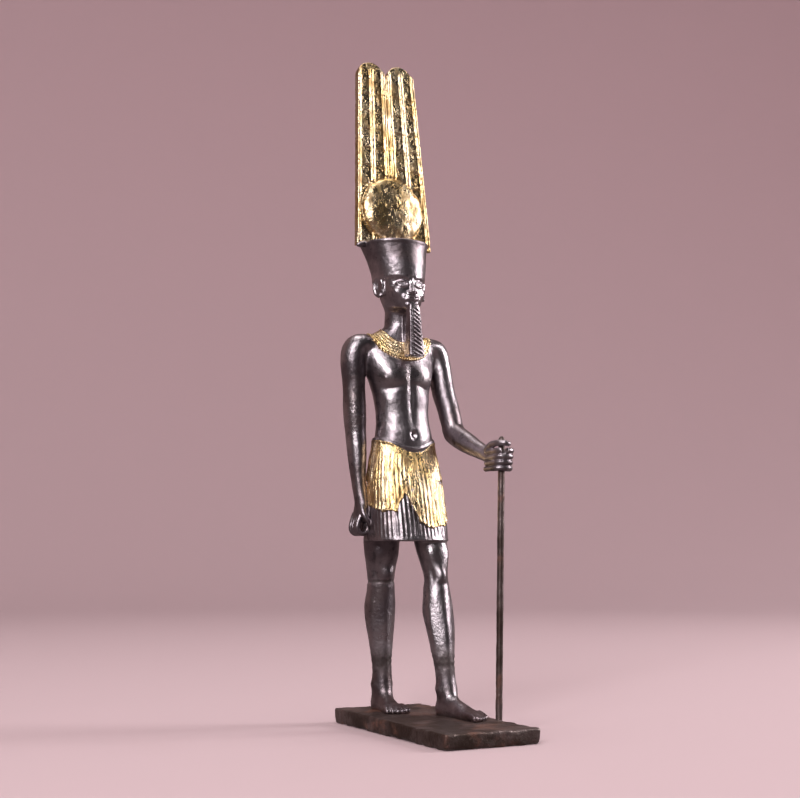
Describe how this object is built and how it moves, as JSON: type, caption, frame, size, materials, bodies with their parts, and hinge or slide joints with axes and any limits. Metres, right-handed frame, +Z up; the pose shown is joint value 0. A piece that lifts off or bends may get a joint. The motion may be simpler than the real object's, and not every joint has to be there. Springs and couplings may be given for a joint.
{
  "type": "amun statuette",
  "caption": "Striding god in silver with a gold collar, kilt sheet and tall plumed crown, holding a staff on an oblong plinth.",
  "frame": {"origin": "middle of the plinth's underside", "axes": "+Z up the figure; the figure faces -Y, and its right hand is on the -X side"},
  "size_m": [0.0432, 0.0778, 0.235],
  "materials": {
    "silver": "tarnished cast silver",
    "gold": "hammered gold sheet, bright, with brown in the hollows",
    "dark_metal": "dark brown corroded metal"
  },
  "bodies": {
    "root": {"plinth": "dark_metal", "figure": "silver", "collar": "gold", "kilt_sheet": "gold", "crown": "gold", "staff": "dark_metal"}
  },
  "joints": []
}
